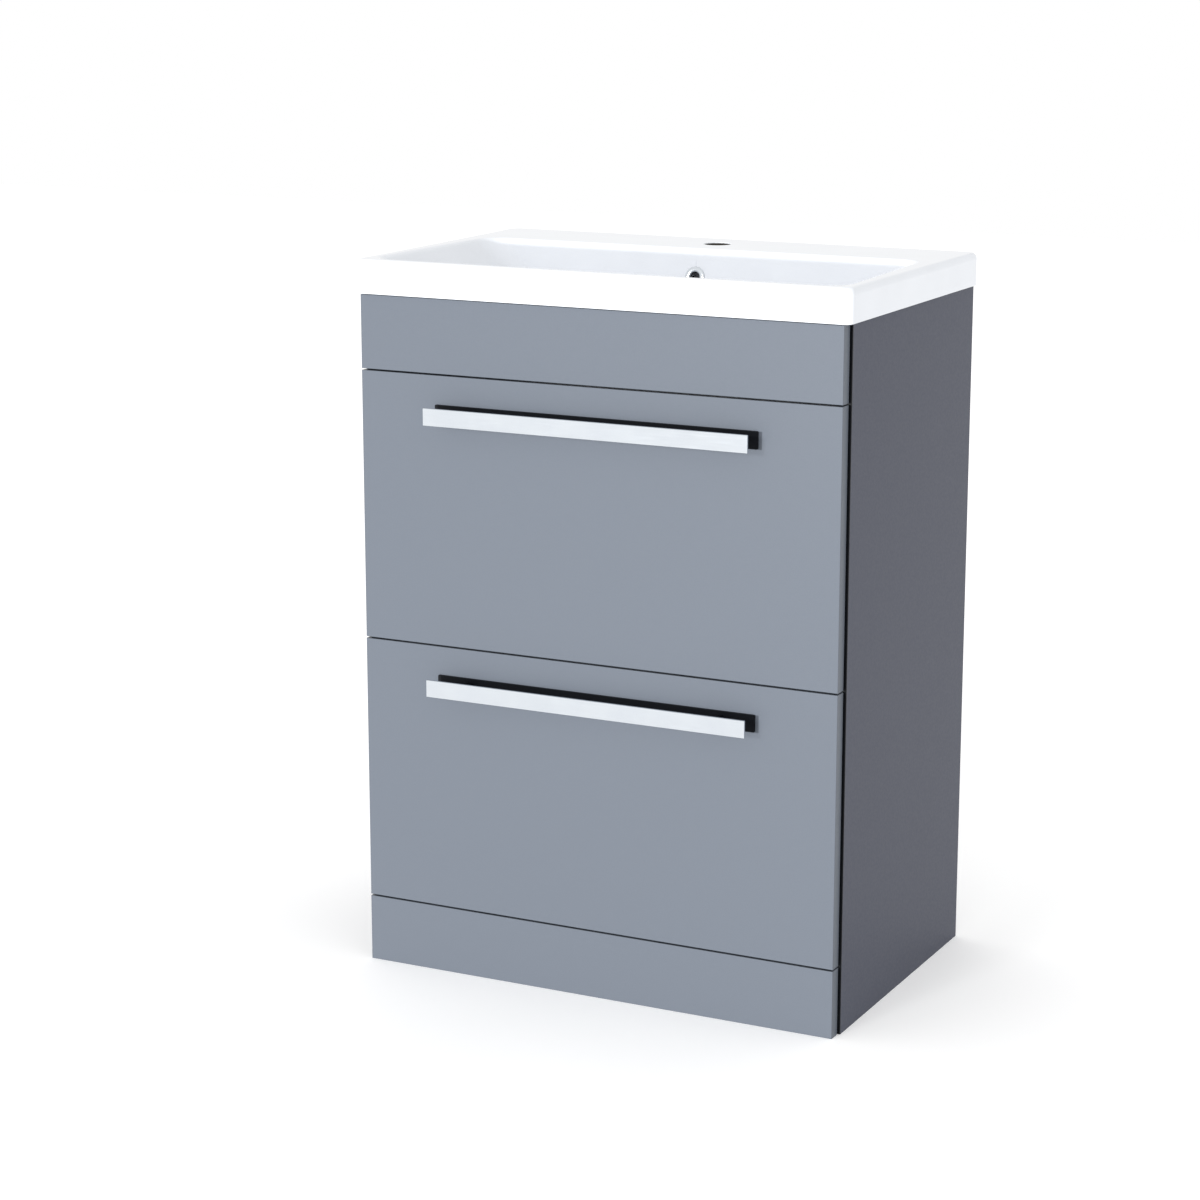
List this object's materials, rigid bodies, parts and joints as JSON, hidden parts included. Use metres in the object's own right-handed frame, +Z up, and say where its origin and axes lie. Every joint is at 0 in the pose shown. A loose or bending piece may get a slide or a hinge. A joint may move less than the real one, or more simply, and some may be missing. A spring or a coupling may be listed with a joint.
{
  "type": "vanity cabinet",
  "caption": "Floor-standing bathroom vanity cabinet with grey drawers that slide out on telescopic runners, bar handles and a white ceramic basin on top.",
  "frame": {"origin": "middle of the footprint, handles and basin included, on the floor", "axes": "+Z up, +X to the right as seen from the front, +Y to the wall behind; the drawers open towards -Y"},
  "size_m": [0.612, 0.42, 0.838],
  "materials": {
    "ball_cage_steel": "pressed steel cage with polished balls",
    "beech_dowel": "fluted beech",
    "black_metal": "black powder coat",
    "carcass_board": "grey melamine-faced board",
    "chrome": "polished chrome plate",
    "drawer_board": "light grey melamine-faced board",
    "grey_front": "satin mid-grey lacquer on board",
    "grey_side": "satin mid-grey lacquer on board",
    "screw_steel": "zinc-plated screw",
    "silicone": "white sanitary silicone",
    "soft_bumper": "soft dark elastomer",
    "softwood_block": "planed softwood",
    "white_ceramic": "gloss white glaze",
    "zinc_cam": "zinc die-cast",
    "zinc_runner": "bright zinc plate"
  },
  "bodies": {
    "cabinet": {"base_panel": "carcass_board", "basin": "white_ceramic", "basin_sealant": "silicone", "bumpers": "soft_bumper", "cam_bolts": "screw_steel", "cam_locks": "zinc_cam", "dowels": "beech_dowel", "fascia_panel": "grey_front", "front_rail": "carcass_board", "lower_cabinet_rail_left": "zinc_runner", "lower_cabinet_rail_right": "zinc_runner", "middle_rail": "carcass_board", "overflow_ring": "chrome", "panel_screws": "screw_steel", "plinth_blocks": "softwood_block", "plinth_panel": "grey_front", "rear_bottom_rail": "carcass_board", "rear_top_rail": "carcass_board", "runner_screws": "screw_steel", "side_panel_left": "grey_side", "side_panel_right": "grey_side", "upper_cabinet_rail_left": "zinc_runner", "upper_cabinet_rail_right": "zinc_runner"},
    "upper_drawer": {"upper_box_back": "drawer_board", "upper_box_base": "drawer_board", "upper_box_front": "drawer_board", "upper_box_side_left": "drawer_board", "upper_box_side_right": "drawer_board", "upper_drawer_front": "grey_front", "upper_drawer_rail_left": "zinc_runner", "upper_drawer_rail_right": "zinc_runner", "upper_front_screws": "screw_steel", "upper_handle_back_plate": "black_metal", "upper_handle_bar": "chrome", "upper_handle_posts": "black_metal", "upper_handle_screws": "screw_steel", "upper_rail_screws": "screw_steel", "upper_trap_surround_front": "drawer_board", "upper_trap_surround_sides": "drawer_board"},
    "upper_middle_slides": {"upper_middle_rails": "zinc_runner"},
    "upper_outer_cages": {"upper_outer_ball_cages": "ball_cage_steel"},
    "upper_inner_cages": {"upper_inner_ball_cages": "ball_cage_steel"},
    "lower_drawer": {"lower_box_back": "drawer_board", "lower_box_base": "drawer_board", "lower_box_front": "drawer_board", "lower_box_side_left": "drawer_board", "lower_box_side_right": "drawer_board", "lower_drawer_front": "grey_front", "lower_drawer_rail_left": "zinc_runner", "lower_drawer_rail_right": "zinc_runner", "lower_front_screws": "screw_steel", "lower_handle_back_plate": "black_metal", "lower_handle_bar": "chrome", "lower_handle_posts": "black_metal", "lower_handle_screws": "screw_steel", "lower_rail_screws": "screw_steel"},
    "lower_middle_slides": {"lower_middle_rails": "zinc_runner"},
    "lower_outer_cages": {"lower_outer_ball_cages": "ball_cage_steel"},
    "lower_inner_cages": {"lower_inner_ball_cages": "ball_cage_steel"}
  },
  "joints": [
    {"name": "upper_drawer_slide", "type": "slide", "parent": "cabinet", "child": "upper_drawer", "axis": [0, -1, 0], "range_m": [0, 0.28]},
    {"name": "upper_middle_slides_slide", "type": "slide", "parent": "cabinet", "child": "upper_middle_slides", "axis": [0, -1, 0], "range_m": [0, 0.14]},
    {"name": "upper_outer_cages_slide", "type": "slide", "parent": "cabinet", "child": "upper_outer_cages", "axis": [0, -1, 0], "range_m": [0, 0.07]},
    {"name": "upper_inner_cages_slide", "type": "slide", "parent": "cabinet", "child": "upper_inner_cages", "axis": [0, -1, 0], "range_m": [0, 0.21]},
    {"name": "lower_drawer_slide", "type": "slide", "parent": "cabinet", "child": "lower_drawer", "axis": [0, -1, 0], "range_m": [0, 0.28]},
    {"name": "lower_middle_slides_slide", "type": "slide", "parent": "cabinet", "child": "lower_middle_slides", "axis": [0, -1, 0], "range_m": [0, 0.14]},
    {"name": "lower_outer_cages_slide", "type": "slide", "parent": "cabinet", "child": "lower_outer_cages", "axis": [0, -1, 0], "range_m": [0, 0.07]},
    {"name": "lower_inner_cages_slide", "type": "slide", "parent": "cabinet", "child": "lower_inner_cages", "axis": [0, -1, 0], "range_m": [0, 0.21]}
  ],
  "couplings": [
    {"joint": "upper_middle_slides_slide", "follows": "upper_drawer_slide", "ratio": 0.5},
    {"joint": "upper_outer_cages_slide", "follows": "upper_drawer_slide", "ratio": 0.25},
    {"joint": "upper_inner_cages_slide", "follows": "upper_drawer_slide", "ratio": 0.75},
    {"joint": "lower_middle_slides_slide", "follows": "lower_drawer_slide", "ratio": 0.5},
    {"joint": "lower_outer_cages_slide", "follows": "lower_drawer_slide", "ratio": 0.25},
    {"joint": "lower_inner_cages_slide", "follows": "lower_drawer_slide", "ratio": 0.75}
  ]
}
